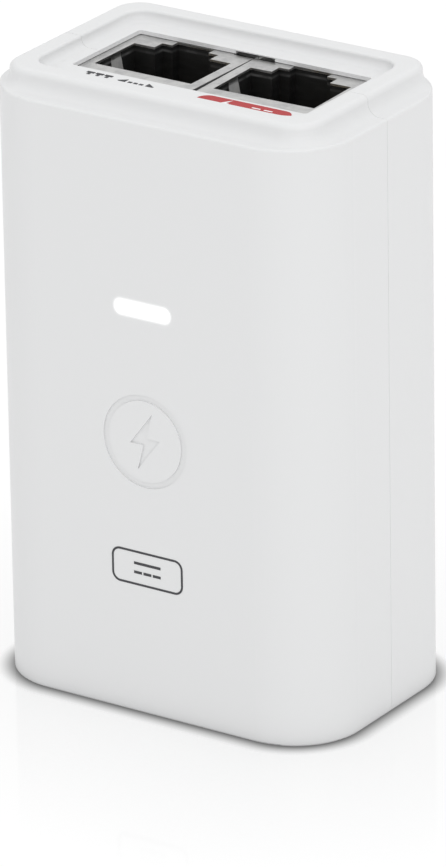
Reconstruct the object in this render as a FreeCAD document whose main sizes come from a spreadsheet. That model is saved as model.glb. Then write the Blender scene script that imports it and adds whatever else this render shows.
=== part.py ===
import FreeCAD, Part
import math
import os
import re
import Sketcher

# A mains-fed Power over Ethernet injector, in millimetres.  It stands on its base: +Z is up,
# the front faces -Y, and the origin is the centre of the base.  The casing is two moulded
# halves that meet at mid-depth.  Inside, one upright board carries the sockets and the supply.

doc = FreeCAD.newDocument("PoeInjector")

# ---------------------------------------------------------------- driving sizes

SIZES = (
    # casing
    ("body_width", 43.0, "casing, left to right"),
    ("body_depth", 29.0, "casing, front to back"),
    ("ledge_height", 67.53, "base to the ledge around the rim"),
    ("corner_radius", 7.9, "upright corners of the casing"),
    ("ledge_fillet", 0.25, "rounded edge of the ledge"),
    ("base_fillet", 0.25, "rounded edge of the base"),
    ("wall", 2.0, "side, front and back walls"),
    ("floor_thickness", 2.0, "base wall"),
    ("roof_thickness", 1.2, "top wall under the ledge"),
    ("seam_gap", 0.03, "hairline between the two halves"),
    ("lip_thickness", 0.9, "tongue along the seam, across the wall"),
    ("lip_reach", 1.2, "tongue past the seam"),
    ("lip_gap", 0.1, "clearance around the tongue"),
    # rim around the sockets, and the plate inside it
    ("rim_inset", 2.13, "rim's outer wall in from the casing's sides, on average"),
    ("rim_breadth", 25.06, "rim, front to back"),
    ("rim_offset", 0.51, "middle of the rim behind mid-depth"),
    ("rim_shift", -0.24, "middle of the rim right of the casing's middle"),
    ("rim_height", 2.22, "rim above the ledge"),
    ("rim_wall", 2.5, "thickness of the rim"),
    ("rim_corner_radius", 3.2, "outer corners of the rim"),
    ("rim_fillet", 0.7, "rounded outer edge of the rim's top"),
    ("rim_inner_fillet", 0.3, "rounded inner edge of the rim's top"),
    ("rim_root_fillet", 1.4, "hollow at the outer foot of the rim"),
    ("dish_radius", 2.4, "inner corners of the rim"),
    ("dish_fillet", 0.9, "hollow at the inner foot of the rim"),
    ("plate_rise", 0.97, "plate around the sockets above the ledge"),
    # sockets
    ("jack_width", 14.75, "one socket, across its shield"),
    ("jack_gap", 0.3, "between the two shields"),
    ("jack_height", 13.9, "socket, from the board outwards"),
    ("jack_length", 20.7, "socket, from its face down"),
    ("jack_offset", 1.69, "middle of the sockets behind mid-depth"),
    ("jack_drop", 0.5, "socket face below the plate"),
    ("lan_turn", -0.3, "how far the LAN socket sits askew, in degrees"),
    ("poe_turn", 1.7, "how far the powered socket sits askew, in degrees"),
    ("seat_room", 0.6, "room around the sockets under the plate"),
    ("jack_side_lap", 0.1, "shield hidden beside the port window"),
    ("jack_front_lap", 0.03, "shield hidden before the port window"),
    ("jack_back_lap", 0.97, "shield hidden behind the port window"),
    ("notch_width", 5.0, "notch in the window's back edge, over the joint"),
    ("notch_height", 0.38, "notch in the window's back edge"),
    ("notch_depth", 1.2, "notch in the window's back edge"),
    ("relief_lap", 0.25, "cut corner of a shield's face before the notch"),
    ("window_radius", 0.35, "corners of the port window"),
    ("shield_sheet", 0.25, "sheet thickness of a shield"),
    ("shield_gap", 0.05, "between a shield and its insert"),
    ("socket_rise", 2.66, "socket cavity above the foot of the jack"),
    ("socket_width", 12.4, "plug cavity, across"),
    ("socket_height", 7.5, "plug cavity, contacts to latch side"),
    ("socket_depth", 13.5, "plug cavity, from the face down"),
    ("latch_width", 7.2, "latch way, across"),
    ("latch_height", 1.5, "latch way, height"),
    ("tongue_width", 4.7, "latch tongue way, across"),
    ("tongue_height", 1.1, "latch tongue way, height"),
    ("finger_width", 1.9, "grounding finger of a shield"),
    ("finger_bulge", 0.5, "grounding finger into the plug cavity"),
    ("finger_pocket", 0.7, "room for a grounding finger beside the cavity"),
    ("finger_place", 0.42, "grounding finger's front edge, as a share of the cavity's height"),
    ("finger_crest", 4.2, "crest of a grounding finger below the socket face"),
    ("finger_end", 7.0, "end of a grounding finger below the socket face"),
    ("finger_room", 8.5, "room for a grounding finger below the socket face"),
    # contact wires
    ("contact_pitch", 1.02, "between contact wires"),
    ("contact_width", 0.4, "wire, across"),
    ("contact_sheet", 0.3, "wire, thickness"),
    ("contact_slot", 0.7, "comb slot, across"),
    ("contact_slot_depth", 2.2, "comb slot below the cavity"),
    ("contact_drop", 1.2, "bend of the wires below the socket face"),
    ("contact_hook", 0.6, "level run of a wire at its bend"),
    ("contact_reach", 9.2, "wire from its bend down to its tip"),
    ("contact_lift", 2.5, "tip of the wire above its bend"),
    ("tail_width", 0.4, "solder tail, square"),
    ("tail_row", 2.54, "between the two rows of tails"),
    # board
    ("pcb_thickness", 1.6, "main board"),
    ("pcb_side_gap", 0.5, "board to the side walls"),
    ("pcb_end_gap", 1.0, "board to the base and the top plate"),
    ("seat_gap", 0.05, "between pieces that rest on each other"),
    ("tail_past_board", 1.0, "leads past the solder side"),
    ("hole_gap", 0.1, "board hole around a lead"),
    ("rail_width", 1.3, "rails and fingers that hold the board"),
    ("rail_depth", 1.2, "rail in front of the board"),
    ("finger_length", 5.0, "each board finger, up the casing"),
    # light
    ("led_bar_width", 7.0, "lit bar, across"),
    ("led_bar_height", 1.7, "lit bar, upright"),
    ("led_bar_radius", 0.8, "ends of the lit bar"),
    ("led_height", 46.55, "lit bar above the base"),
    ("led_skin", 0.7, "wall left in front of the light pipe"),
    ("pipe_gap", 0.1, "around the light pipe"),
    ("pipe_flange", 0.8, "light pipe's shoulder beyond its tip"),
    ("led_chip", 1.6, "one lamp, square"),
    ("led_chip_height", 0.9, "one lamp, off the board"),
    ("led_spacing", 3.4, "between the two lamps"),
    ("pipe_leg", 1.0, "legs of the light pipe"),
    ("sheet_thickness", 0.3, "insulation sheet"),
    # front mark: a ring round a bolt, sunk into the front
    ("mark_height", 31.65, "middle of the mark above the base"),
    ("mark_radius", 5.3, "outside of the ring"),
    ("mark_line", 0.7, "width of the ring"),
    ("mark_sink", 0.18, "depth of the mark"),
    # mains inlet
    ("inlet_width", 19.6, "inlet block, across"),
    ("inlet_depth", 15.6, "inlet block, front to back"),
    ("inlet_height", 14.2, "inlet block, upright"),
    ("inlet_recess", 0.3, "inlet face above the base"),
    ("inlet_ear", 1.4, "ear inside the base wall"),
    ("ear_thickness", 1.5, "ear, upright"),
    ("clover_radius", 3.2, "lobe of the plug recess"),
    ("clover_depth", 12.0, "plug recess"),
    ("pin_spacing", 10.0, "line pin to neutral pin"),
    ("pin_offset", 5.0, "earth pin from the other two"),
    ("pin_radius", 1.18, "round inlet pins"),
    ("pin_sink", 2.4, "pin tips above the inlet face"),
    ("tab_width", 1.2, "inlet pin's tab to the board"),
    ("tab_sheet", 0.7, "inlet pin's tab, upright"),
    # wall bracket
    ("bracket_width", 24.0, "bracket, across"),
    ("bracket_height", 38.0, "bracket, upright"),
    ("bracket_thickness", 1.8, "bracket plate"),
    ("bracket_radius", 1.5, "bracket corners"),
    ("bracket_gap", 0.15, "clearance around the bracket"),
    ("bracket_travel", 6.0, "slide that frees the bracket"),
    ("bracket_floor", 1.6, "wall behind the bracket"),
    ("hook_reach", 1.3, "bracket hook, sideways"),
    ("hook_height", 5.4, "bracket hook, upright"),
    ("hook_sheet", 0.8, "bracket hook, thickness"),
    ("hook_inset", 4.5, "bracket hook from the bracket's end"),
    ("screw_spacing", 27.0, "between the bracket's screw holes"),
    ("screw_radius", 1.9, "bracket screw hole"),
    ("sink_radius", 3.6, "countersink at the plate's inner face"),
    ("sink_depth", 1.0, "countersink"),
    ("spring_width", 8.0, "sprung tongue of the bracket"),
    ("spring_length", 12.0, "sprung tongue of the bracket"),
    ("spring_slot", 0.9, "slot around the tongue"),
    # mains and output parts on the board
    ("lead_width", 0.6, "square lead"),
    ("side_column", 13.0, "outer parts' middle from the centre"),
    ("part_gap", 1.0, "between parts on the board"),
    ("fuse_radius", 2.0, "fuse body"),
    ("fuse_length", 9.0, "fuse"),
    ("varistor_radius", 3.5, "varistor disc"),
    ("varistor_thickness", 3.6, "varistor disc"),
    ("box_cap_width", 5.0, "X capacitor, across"),
    ("box_cap_height", 11.0, "X capacitor, off the board"),
    ("box_cap_length", 12.5, "X capacitor, upright"),
    ("choke_radius", 3.2, "choke ring, to the middle of its section"),
    ("choke_section", 1.2, "choke ring's section radius"),
    ("choke_wire", 0.55, "winding over the choke ring"),
    ("bulk_radius", 5.0, "bulk capacitor"),
    ("bulk_length", 16.0, "bulk capacitor"),
    ("output_radius", 4.0, "output capacitor"),
    ("output_length", 11.5, "output capacitor"),
    ("can_groove", 0.35, "rolled groove of a capacitor can"),
    ("core_width", 16.0, "transformer core, across"),
    ("core_height", 14.0, "transformer core, upright"),
    ("core_depth", 5.0, "transformer core, off the board"),
    ("core_shift", 4.0, "core left of the middle"),
    ("core_leg", 2.1, "outer leg and yoke of the core"),
    ("core_centre", 4.0, "centre leg of the core"),
    ("bobbin_sheet", 0.7, "wall of the bobbin"),
    ("bobbin_span", 11.6, "bobbin flange, off the board"),
    ("fit_gap", 0.1, "between core, bobbin and winding"),
    ("disc_radius", 3.6, "Y capacitor"),
    ("disc_thickness", 3.0, "Y capacitor"),
    ("drum_radius", 3.0, "output inductor flange"),
    ("drum_post", 1.5, "output inductor post"),
    ("drum_height", 7.5, "output inductor, off the board"),
    ("drum_flange", 0.9, "output inductor flange thickness"),
)

# Places that follow from the sizes above.  Each may use the ones before it.
PLACES = (
    ("cavity_width", "body_width - 2 * wall"),
    ("cavity_depth", "body_depth - 2 * wall"),
    ("cavity_radius", "corner_radius - wall"),
    ("cavity_top", "ledge_height - roof_thickness"),
    ("plate_level", "ledge_height + plate_rise"),
    ("rim_span", "body_width - 2 * rim_inset"),
    ("dish_span", "rim_span - 2 * rim_wall"),
    ("dish_breadth", "rim_breadth - 2 * rim_wall"),
    ("window_width", "2 * jack_width + jack_gap - 2 * jack_side_lap"),
    ("window_depth", "jack_height - jack_front_lap - jack_back_lap"),
    ("window_middle", "jack_offset + (jack_front_lap - jack_back_lap) / 2"),
    ("window_back", "window_middle + window_depth / 2"),
    ("jack_pitch", "jack_width + jack_gap"),
    ("seat_width", "2 * jack_width + jack_gap + 2 * seat_room"),
    ("seat_depth", "jack_height + 2 * seat_room"),
    ("jack_base", "jack_offset - jack_height / 2"),
    ("jack_back", "jack_offset + jack_height / 2"),
    ("jack_face", "plate_level - jack_drop"),
    ("jack_bottom", "jack_face - jack_length"),
    ("socket_front", "jack_base + socket_rise"),
    ("socket_back", "socket_front + socket_height"),
    ("pcb_rear", "jack_base - seat_gap"),
    ("pcb_front", "pcb_rear - pcb_thickness"),
    ("pcb_width", "cavity_width - 2 * pcb_side_gap"),
    ("pcb_low", "floor_thickness + pcb_end_gap"),
    ("pcb_high", "cavity_top - pcb_end_gap"),
    ("lead_end", "pcb_front - tail_past_board"),
    ("front_wall", "wall - body_depth / 2"),
    ("inlet_middle", "pcb_rear + seat_gap + inlet_depth / 2"),
    ("inlet_top", "inlet_recess + inlet_height"),
    ("inlet_hole_width", "inlet_width + 2 * lip_gap"),
    ("inlet_hole_depth", "inlet_depth + 2 * lip_gap"),
    ("inlet_hole_radius", "2 * lip_gap"),
    ("mains_pin_row", "inlet_middle - pin_offset / 2"),
    ("earth_pin_row", "inlet_middle + pin_offset / 2"),
    ("pocket_floor", "body_depth / 2 - bracket_thickness - bracket_gap"),
    ("pocket_half", "bracket_width / 2 + bracket_gap"),
    ("bracket_low", "(ledge_height - bracket_height - bracket_travel) / 2 + bracket_travel"),
    ("bracket_top", "bracket_low + bracket_height"),
    ("bracket_middle", "bracket_low + bracket_height / 2"),
    ("pocket_low", "bracket_low - bracket_travel - bracket_gap"),
    ("bore_width", "led_bar_width"),
    ("tip_width", "led_bar_width - 2 * pipe_gap"),
    ("tip_height", "led_bar_height - 2 * pipe_gap"),
    ("tip_radius", "led_bar_radius - pipe_gap"),
    ("pipe_width", "led_bar_width + 2 * pipe_flange"),
    ("pipe_height", "led_bar_height + 2 * pipe_flange"),
    ("pipe_radius", "led_bar_radius"),
    ("pipe_front", "front_wall - wall + led_skin + pipe_gap"),
    ("pipe_shoulder", "front_wall + pipe_gap"),
    ("pipe_back", "pcb_front - led_chip_height - pipe_gap"),
    ("tip_length", "pipe_shoulder - pipe_front"),
    ("pipe_length", "pipe_back - pipe_shoulder"),
    ("core_middle", "(inlet_top + jack_bottom) / 2 + part_gap"),
    ("core_row", "pcb_rear + seat_gap + bobbin_span / 2"),
    ("core_column", "-core_shift"),
)

# Every solid node is collected here under its own name.
NODES = {}


def fill_sheets():
    """Put the driving sizes and the places in two sheets, and return every value by name."""
    sizes = doc.addObject("Spreadsheet::Sheet", "Sizes")
    for row, (alias, value, note) in enumerate(SIZES, start=1):
        sizes.set("A%d" % row, note)
        sizes.set("B%d" % row, str(value))
        sizes.setAlias("B%d" % row, alias)
    doc.recompute()
    own_names = {alias for alias, _formula in PLACES}
    places = doc.addObject("Spreadsheet::Sheet", "Places")
    for row, (alias, formula) in enumerate(PLACES, start=1):
        linked = re.sub(r"[a-z_]+", lambda word: word[0] if word[0] in own_names
                        else "Sizes." + word[0], formula)
        places.set("B%d" % row, "=" + linked)
        places.setAlias("B%d" % row, alias)
        doc.recompute()
    references = {alias: "Sizes." + alias for alias, _value, _note in SIZES}
    references.update({alias: "Places." + alias for alias in own_names})
    values = {alias: float(sizes.get(alias)) for alias, _value, _note in SIZES}
    values.update({alias: float(places.get(alias)) for alias in own_names})
    return references, values


REFERENCES, VALUES = fill_sheets()


# ---------------------------------------------------------------- building blocks

def bound(text):
    """An expression in which each size or place is a reference to its cell."""
    return re.sub(r"[a-z_]+", lambda word: REFERENCES.get(word[0], word[0]), text)


def bind(feature, **expressions):
    """Bind properties to expressions; a double underscore in a name stands for a full stop."""
    for name, text in expressions.items():
        feature.setExpression(name.replace("__", "."), bound(text))
    return feature


def block(name, x, y, z):
    """A block between a low and a high value on each axis."""
    feature = doc.addObject("Part::Box", name)
    bind(feature, Placement__Base__x=x[0], Placement__Base__y=y[0], Placement__Base__z=z[0])
    return bind(feature, Length="(%s) - (%s)" % (x[1], x[0]), Width="(%s) - (%s)" % (y[1], y[0]),
                Height="(%s) - (%s)" % (z[1], z[0]))


def around(middle, size):
    """The low and high value of a size centred on a middle."""
    return "(%s) - (%s) / 2" % (middle, size), "(%s) + (%s) / 2" % (middle, size)


def beside(side, near, far):
    """The low and high value of a span on the right (1) or, mirrored, on the left (-1)."""
    return (near, far) if side > 0 else ("-(%s)" % far, "-(%s)" % near)


TURNS = {"X": FreeCAD.Rotation(FreeCAD.Vector(0, 1, 0), 90),
         "Y": FreeCAD.Rotation(FreeCAD.Vector(1, 0, 0), -90),
         "Z": FreeCAD.Rotation()}


def turned(feature, axis, x, y, z):
    """Stand a round feature on a point, with its own axis along X, Y or Z."""
    feature.Placement = FreeCAD.Placement(FreeCAD.Vector(), TURNS[axis])
    return bind(feature, Placement__Base__x=x, Placement__Base__y=y, Placement__Base__z=z)


def rod(name, axis, start, length, radius):
    """A cylinder from a start point along an axis."""
    feature = bind(doc.addObject("Part::Cylinder", name), Radius=radius, Height=length)
    return turned(feature, axis, *start)


def fuse(name, pieces):
    """The union of several features."""
    feature = doc.addObject("Part::MultiFuse", name)
    feature.Shapes = pieces
    return feature


def group(name, pieces):
    """Separate solids that make one node."""
    feature = doc.addObject("Part::Compound", name)
    feature.Links = pieces
    return feature


def cut(name, base, tools):
    """A feature with one or more others taken out of it."""
    feature = doc.addObject("Part::Cut", name)
    feature.Base = base
    feature.Tool = tools[0] if len(tools) == 1 else fuse(name + "Tools", tools)
    return feature


def common(name, base, tool):
    """What two features share."""
    feature = doc.addObject("Part::Common", name)
    feature.Base = base
    feature.Tool = tool
    return feature


def node(label, feature):
    """Keep a finished feature as the node of that name."""
    feature.Label = label
    NODES[label] = feature
    return feature


def rounded_sketch(body, name, role, width, depth, radius, offset):
    """A rounded rectangle in one of a body's origin planes, moved in the plane's own axes."""
    sketch = body.newObject("Sketcher::SketchObject", name)
    plane = next(item for item in body.Origin.OriginFeatures if item.Role == role)
    sketch.AttachmentSupport = [(plane, "")]
    sketch.MapMode = "FlatFace"
    bind(sketch, AttachmentOffset__Base__x=offset[0], AttachmentOffset__Base__y=offset[1],
         AttachmentOffset__Base__z=offset[2])
    half_x, half_y, turn = VALUES[width] / 2, VALUES[depth] / 2, VALUES[radius]
    # each side in turn, then the corner after it, counter-clockwise from the lower side
    sides = (((turn - half_x, -half_y), (half_x - turn, -half_y)),
             ((half_x, turn - half_y), (half_x, half_y - turn)),
             ((half_x - turn, half_y), (turn - half_x, half_y)),
             ((-half_x, half_y - turn), (-half_x, turn - half_y)))
    for start, end in sides:
        sketch.addGeometry(Part.LineSegment(FreeCAD.Vector(*start), FreeCAD.Vector(*end)))
    corners = ((1, -1), (1, 1), (-1, 1), (-1, -1))
    for quarter, (right, up) in enumerate(corners):
        centre = FreeCAD.Vector(right * (half_x - turn), up * (half_y - turn))
        circle = Part.Circle(centre, FreeCAD.Vector(0, 0, 1), turn)
        first = (quarter - 1) * math.pi / 2
        sketch.addGeometry(Part.ArcOfCircle(circle, first, first + math.pi / 2))
    for side in range(4):
        sketch.addConstraint(Sketcher.Constraint("Tangent", side, 2, 4 + side, 1))
        sketch.addConstraint(Sketcher.Constraint("Tangent", 4 + side, 2, (side + 1) % 4, 1))
        straight = "Vertical" if side % 2 else "Horizontal"
        sketch.addConstraint(Sketcher.Constraint(straight, side))
    for corner in (5, 6, 7):
        sketch.addConstraint(Sketcher.Constraint("Equal", 4, corner))
    sketch.addConstraint(Sketcher.Constraint("Symmetric", 0, 1, 2, 1, -1, 1))
    for label, size, constraint in (
            ("width", width, Sketcher.Constraint("DistanceX", 3, 1, 1, 1, 2 * half_x)),
            ("depth", depth, Sketcher.Constraint("DistanceY", 0, 1, 2, 1, 2 * half_y)),
            ("corner", radius, Sketcher.Constraint("Radius", 4, turn))):
        index = sketch.addConstraint(constraint)
        sketch.renameConstraint(index, label)
        sketch.setExpression("Constraints." + label, bound(size))
    return sketch


def extrude(body, kind, sketch, length, reverse=False):
    """A Pad or Pocket of a sketch."""
    feature = body.newObject("PartDesign::" + kind, sketch.Name + kind)
    feature.Profile = sketch
    feature.Reversed = reverse
    return bind(feature, Length=length)


def level_edges(shape, height, inside):
    """Names of the edges around the widest level face at a height, or around its hole."""
    level = [face for face in shape.Faces
             if face.BoundBox.ZLength < 1e-6 and abs(face.BoundBox.ZMin - height) < 1e-6]
    face = max(level, key=lambda item: item.BoundBox.DiagonalLength)
    wires = [wire for wire in face.Wires if wire.isSame(face.OuterWire) != inside]
    wanted = [edge for wire in wires for edge in wire.Edges]
    return ["Edge%d" % number for number, edge in enumerate(shape.Edges, start=1)
            if any(edge.isSame(other) for other in wanted)]


def fillet(body, name, height, inside, radius):
    """Round the edges around a level face."""
    doc.recompute()
    before = body.Tip
    feature = body.newObject("PartDesign::Fillet", name)
    feature.Base = (before, level_edges(before.Shape, height, inside))
    return bind(feature, Radius=radius)


def strip_outline(points, thickness):
    """Corners of a strip of even thickness along a bent centre line in a plane."""
    line = [FreeCAD.Vector(u, v) for u, v in points]
    runs = [(after - before).normalize() for before, after in zip(line, line[1:])]
    left, right = [], []
    for index, point in enumerate(line):
        arriving = runs[max(index - 1, 0)]
        leaving = runs[min(index, len(runs) - 1)]
        along = (arriving + leaving).normalize()
        across = FreeCAD.Vector(-along.y, along.x)
        reach = thickness / 2 / across.dot(FreeCAD.Vector(-arriving.y, arriving.x))
        left.append(point + across * reach)
        right.append(point - across * reach)
    return left + right[::-1]


def strip(points, thickness, place, width):
    """A bent strip: place maps a point of its plane into space, width is its third extent."""
    corners = [place(corner.x, corner.y) for corner in strip_outline(points, thickness)]
    outline = Part.makePolygon(corners + corners[:1])
    return Part.Face(outline).extrude(width)


# ---------------------------------------------------------------- casing

def make_casing():
    """Both halves as one hollow body, with its rim, port window and inlet hole."""
    body = doc.addObject("PartDesign::Body", "Casing")
    outer = rounded_sketch(body, "Outer", "XY_Plane", "body_width", "body_depth",
                           "corner_radius", ("0", "0", "0"))
    extrude(body, "Pad", outer, "ledge_height")
    rim = rounded_sketch(body, "Rim", "XY_Plane", "rim_span", "rim_breadth",
                         "rim_corner_radius", ("rim_shift", "rim_offset", "ledge_height"))
    extrude(body, "Pad", rim, "rim_height")
    dish = rounded_sketch(body, "Dish", "XY_Plane", "dish_span", "dish_breadth", "dish_radius",
                          ("rim_shift", "rim_offset", "ledge_height + rim_height"))
    extrude(body, "Pocket", dish, "rim_height - plate_rise")
    ledge = VALUES["ledge_height"]
    top = ledge + VALUES["rim_height"]
    fillet(body, "BaseRound", 0, False, "base_fillet")
    fillet(body, "LedgeRound", ledge, False, "ledge_fillet")
    fillet(body, "RimRoot", ledge, True, "rim_root_fillet")
    fillet(body, "RimOuterRound", top, False, "rim_fillet")
    fillet(body, "RimInnerRound", top, True, "rim_inner_fillet")
    fillet(body, "DishRoot", VALUES["plate_level"], False, "dish_fillet")
    cavity = rounded_sketch(body, "Cavity", "XY_Plane", "cavity_width", "cavity_depth",
                            "cavity_radius", ("0", "0", "floor_thickness"))
    extrude(body, "Pocket", cavity, "cavity_top - floor_thickness", reverse=True)
    window = rounded_sketch(body, "Window", "XY_Plane", "window_width", "window_depth",
                            "window_radius", ("0", "window_middle", "plate_level"))
    extrude(body, "Pocket", window, "plate_level - cavity_top")
    seat = rounded_sketch(body, "JackSeat", "XY_Plane", "seat_width", "seat_depth",
                          "window_radius", ("0", "jack_offset", "cavity_top"))
    extrude(body, "Pocket", seat, "jack_face + seat_gap - cavity_top", reverse=True)
    inlet = rounded_sketch(body, "InletHole", "XY_Plane", "inlet_hole_width",
                           "inlet_hole_depth", "inlet_hole_radius", ("0", "inlet_middle", "0"))
    extrude(body, "Pocket", inlet, "floor_thickness", reverse=True)
    return body


def half_space(name, low, high):
    """A block that takes in all of one half of the casing."""
    return block(name, around("0", "2 * body_width"), (low, high),
                 ("-wall", "ledge_height + rim_height + wall"))


def make_mark():
    """The sunk mark on the front: a ring round a bolt."""
    front = "-body_depth / 2 - mark_sink"
    start = ("0", front, "mark_height")
    ring = cut("MarkRing", rod("MarkOuter", "Y", start, "2 * mark_sink", "mark_radius"),
               [rod("MarkInner", "Y", start, "2 * mark_sink", "mark_radius - mark_line")])
    # the bolt, as shares of the ring's radius
    corners = ((0.18, 0.62), (-0.36, -0.08), (-0.04, -0.08), (-0.18, -0.62), (0.36, 0.08),
               (0.04, 0.08))
    radius = VALUES["mark_radius"]
    depth = VALUES["mark_sink"]
    points = [FreeCAD.Vector(u * radius, -VALUES["body_depth"] / 2 - depth,
                             VALUES["mark_height"] + v * radius) for u, v in corners]
    bolt = doc.addObject("Part::Feature", "MarkBolt")
    face = Part.Face(Part.makePolygon(points + points[:1]))
    bolt.Shape = face.extrude(FreeCAD.Vector(0, 2 * depth, 0))
    return [ring, bolt]


def make_front_shell(casing):
    half = common("FrontHalf", casing, half_space("FrontSpace", "-body_depth", "-seam_gap / 2"))
    added = [half]
    for side, word in ((-1, "Left"), (1, "Right")):
        added.append(block("Tongue" + word,
                           beside(side, "cavity_width / 2", "cavity_width / 2 + lip_thickness"),
                           ("-wall / 2", "lip_reach"), ("floor_thickness", "cavity_top")))
        added.append(block("Rail" + word,
                           beside(side, "cavity_width / 2 - rail_width", "cavity_width / 2 + lip_gap"),
                           ("pcb_front - rail_depth", "pcb_front - seat_gap"),
                           ("floor_thickness", "cavity_top - pcb_end_gap")))
    bar = doc.addObject("PartDesign::Body", "LitBar")
    # the plane's own normal is -Y, so the pocket runs from inside the wall towards the skin
    sketch = rounded_sketch(bar, "LitBarOutline", "XZ_Plane", "bore_width", "led_bar_height",
                            "led_bar_radius", ("0", "led_height", "-front_wall - wall"))
    extrude(bar, "Pad", sketch, "2 * wall - led_skin")
    node("front_shell", cut("FrontShell", fuse("FrontSolid", added), [bar] + make_mark()))


def hook_levels():
    """Lower ends of the bracket's two pairs of hooks."""
    return "bracket_low + hook_inset", "bracket_top - hook_inset - hook_height"


def make_rear_shell(casing):
    half = common("RearHalf", casing, half_space("RearSpace", "seam_gap / 2", "body_depth"))
    far_side = "pocket_half + hook_reach + bracket_gap"
    added = [half, block("PocketBacking", around("0", "2 * (%s + wall)" % far_side),
                         ("pocket_floor - bracket_floor", "cavity_depth / 2 + lip_gap"),
                         ("pocket_low - wall", "bracket_top + bracket_gap + wall"))]
    taken = [block("BracketPocket", around("0", "2 * pocket_half"), ("pocket_floor", "body_depth"),
                   ("pocket_low", "bracket_top + bracket_gap")),
             block("WindowNotch", around("0", "notch_width"),
                   ("window_middle", "window_back + notch_depth"),
                   ("jack_face", "jack_face + notch_height"))]
    finger_levels = ("pcb_low + finger_length / 2", "core_middle", "jack_face - 2 * finger_length")
    for side, word in ((-1, "Left"), (1, "Right")):
        taken.append(block("Groove" + word,
                           beside(side, "cavity_width / 2", "cavity_width / 2 + lip_thickness + lip_gap"),
                           ("0", "lip_reach + lip_gap"),
                           ("floor_thickness - lip_gap", "cavity_top + lip_gap")))
        for number, low in enumerate(hook_levels()):
            span = beside(side, "pocket_half - bracket_gap", far_side)
            taken.append(block("HookWay%s%d" % (word, number), span,
                               ("pocket_floor", "pocket_floor + hook_sheet + 2 * bracket_gap"),
                               ("%s - bracket_travel - bracket_gap" % low,
                                "%s + hook_height + bracket_gap" % low)))
            taken.append(block("HookMouth%s%d" % (word, number), span,
                               ("pocket_floor", "body_depth"),
                               ("%s - bracket_travel - bracket_gap" % low,
                                "%s - 2 * bracket_gap" % low)))
        inner = "cavity_width / 2 - rail_width"
        for number, level in enumerate(finger_levels):
            height = around(level, "finger_length")
            added.append(block("BoardFinger%s%d" % (word, number),
                               beside(side, inner, "cavity_width / 2 - lip_gap"),
                               ("pcb_rear + seat_gap", "2 * wall"), height))
            added.append(block("FingerRoot%s%d" % (word, number),
                               beside(side, inner, "cavity_width / 2 + lip_gap"),
                               ("lip_reach + lip_gap", "2 * wall"), height))
    node("rear_shell", cut("RearShell", fuse("RearSolid", added), taken))


def make_wall_bracket():
    body = doc.addObject("PartDesign::Body", "BracketPlate")
    sketch = rounded_sketch(body, "BracketOutline", "XZ_Plane", "bracket_width", "bracket_height",
                            "bracket_radius", ("0", "bracket_middle", "-body_depth / 2"))
    extrude(body, "Pad", sketch, "bracket_thickness")
    inner_face = "body_depth / 2 - bracket_thickness"
    added = [body]
    for side, word in ((-1, "Left"), (1, "Right")):
        for number, low in enumerate(hook_levels()):
            added.append(block("Hook%s%d" % (word, number),
                               beside(side, "bracket_width / 2 - hook_reach",
                                      "bracket_width / 2 + hook_reach"),
                               (inner_face, inner_face + " + hook_sheet"),
                               (low, low + " + hook_height")))
    taken = []
    for side, word in ((-1, "Low"), (1, "High")):
        level = "bracket_middle + %d * screw_spacing / 2" % side
        taken.append(rod("ScrewHole" + word, "Y", ("0", "0", level), "body_depth", "screw_radius"))
        sink = bind(doc.addObject("Part::Cone", "Countersink" + word), Height="sink_depth",
                    Radius1="sink_radius", Radius2="screw_radius")
        taken.append(turned(sink, "Y", "0", inner_face, level))
    # a slot on three sides of the sprung tongue, which stays joined at its lower end
    through = ("0", "body_depth")
    span = around("bracket_middle", "spring_length")
    for side, word in ((-1, "Left"), (1, "Right")):
        taken.append(block("SpringSlot" + word,
                           beside(side, "spring_width / 2", "spring_width / 2 + spring_slot"),
                           through, span))
    taken.append(block("SpringSlotTop", around("0", "spring_width + 2 * spring_slot"), through,
                       (span[1] + " - spring_slot", span[1])))
    node("wall_bracket", cut("WallBracket", fuse("BracketSolid", added), taken))


# ---------------------------------------------------------------- board and light

BOARD_HOLES = []


def square_lead(name, x, z, start, size="lead_width"):
    """A straight lead from a height off the board, through it, and its hole."""
    lead = block(name, around(x, size), ("lead_end", start), around(z, size))
    drill(name, around(x, size + " + 2 * hole_gap"), around(z, size + " + 2 * hole_gap"))
    return lead


def drill(name, x, z):
    """A hole right through the board."""
    BOARD_HOLES.append(block(name + "Hole", x, ("pcb_front - wall", "pcb_rear + wall"), z))


def bent_lead(name, x, end, drop, row):
    """A lead out of an upright part's end, bent down through the board."""
    out = block(name + "Out", around(x, "lead_width"), around(row, "lead_width"),
                ("%s - %s" % (end, drop), end))
    down = square_lead(name, x, "%s - %s + lead_width / 2" % (end, drop),
                       row + " + lead_width / 2")
    return [out, down]


def make_board():
    plate = block("BoardPlate", around("0", "pcb_width"), ("pcb_front", "pcb_rear"),
                  ("pcb_low", "pcb_high"))
    node("main_pcb", cut("MainBoard", plate, BOARD_HOLES))


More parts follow.
